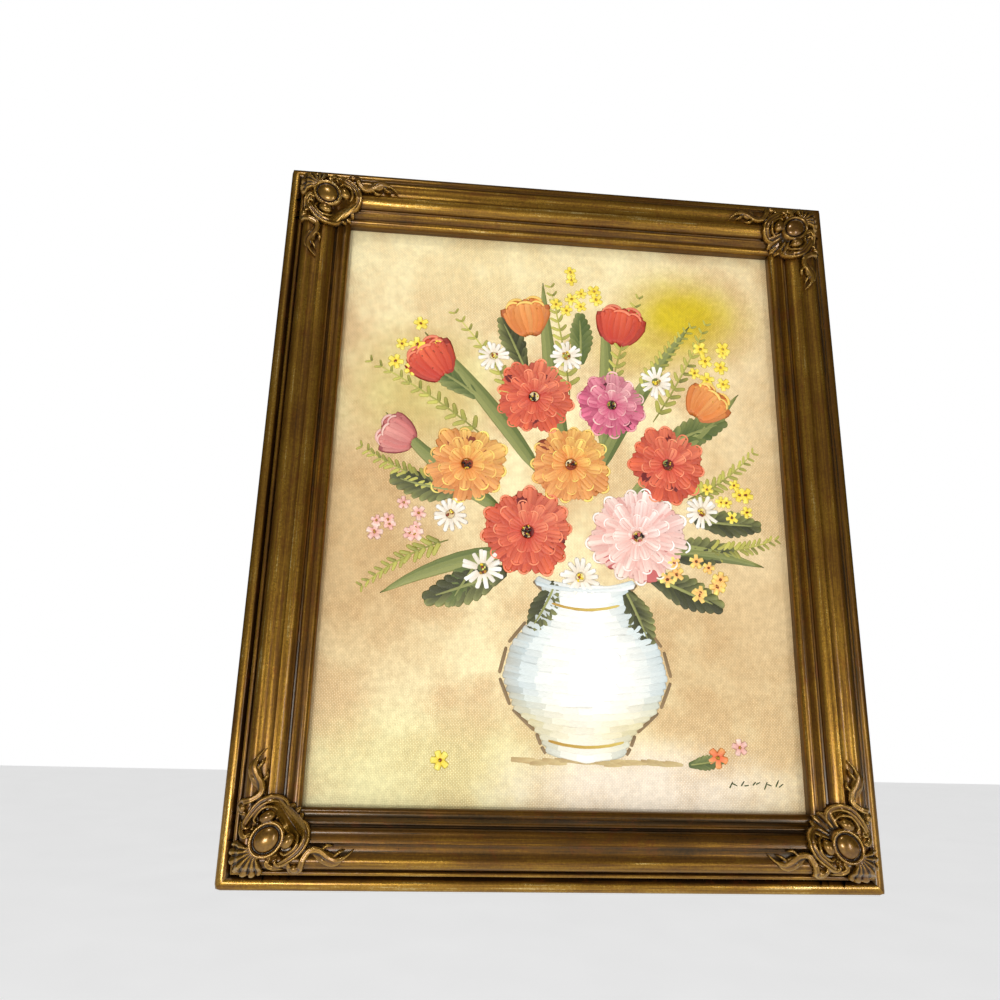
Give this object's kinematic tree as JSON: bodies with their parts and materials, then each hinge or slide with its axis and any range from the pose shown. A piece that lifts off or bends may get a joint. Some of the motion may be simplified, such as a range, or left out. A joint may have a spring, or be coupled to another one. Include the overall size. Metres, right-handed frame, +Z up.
{
  "type": "framed oil painting",
  "caption": "Small portrait-format oil painting of flowers on canvas board, in a gilded moulding frame with cast shell-and-scroll corner ornaments, to hang on a wall.",
  "frame": {"origin": "on the back face of the top rail, halfway along it and across the wood, where the frame hangs", "axes": "+X to the right as seen by a viewer, +Z up, the picture faces -Y and the backs of the rails lie in the plane Y = 0"},
  "size_m": [0.2476, 0.0252, 0.2985],
  "materials": {
    "gilded_moulding": "antique gold over dark brown on wood, satin, brushed along the length and worn on the high members",
    "gilded_casting": "cast composition, antique gold with brown left in the hollows, semi-gloss on the high points",
    "painted_canvas": "oil paint on primed cotton canvas over board, weave showing, soft sheen"
  },
  "bodies": {
    "root": {"rail_top": "gilded_moulding", "rail_bottom": "gilded_moulding", "rail_left": "gilded_moulding", "rail_right": "gilded_moulding", "corner_ornament_top_left": "gilded_casting", "corner_ornament_top_right": "gilded_casting", "corner_ornament_bottom_left": "gilded_casting", "corner_ornament_bottom_right": "gilded_casting", "canvas_board": "painted_canvas"}
  },
  "joints": []
}
